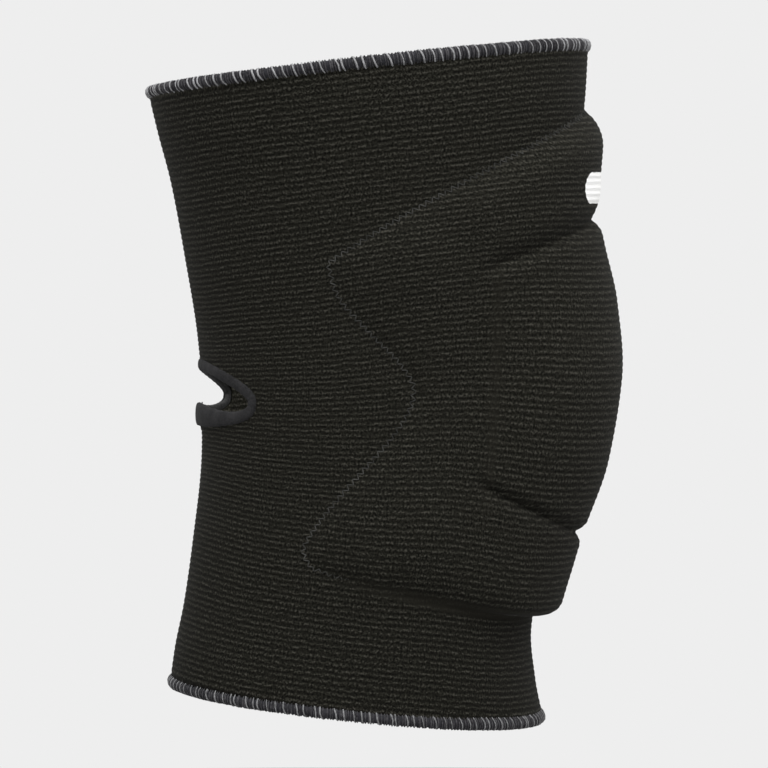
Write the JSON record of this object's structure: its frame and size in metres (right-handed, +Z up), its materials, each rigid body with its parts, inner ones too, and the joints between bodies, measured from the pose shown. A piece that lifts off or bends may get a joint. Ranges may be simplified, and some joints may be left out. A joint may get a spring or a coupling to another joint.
{
  "type": "knee pad",
  "caption": "Slip-on sports knee pad: a rib-knit sleeve with a lobed foam pad at the front and a bound opening behind the knee.",
  "frame": {"origin": "middle of the leg hollow at the height of the knee joint, the place where the leg holds the sleeve", "axes": "+Z up the leg, +X out of the front of the knee, +Y to the left; the part is the same on both sides of the XZ plane"},
  "size_m": [0.1676, 0.1408, 0.2384],
  "materials": {
    "rib_knit": "matt rib knit, soft sheen at the edges",
    "foam_lining": "matt brushed cloth on foam",
    "overlocked_hem": "matt twisted thread",
    "elastic_binding": "smooth matt elastic tape"
  },
  "bodies": {
    "root": {"knit_sleeve": "rib_knit", "foam_pad": "foam_lining", "upper_hem": "overlocked_hem", "lower_hem": "overlocked_hem", "opening_binding": "elastic_binding"}
  },
  "joints": []
}
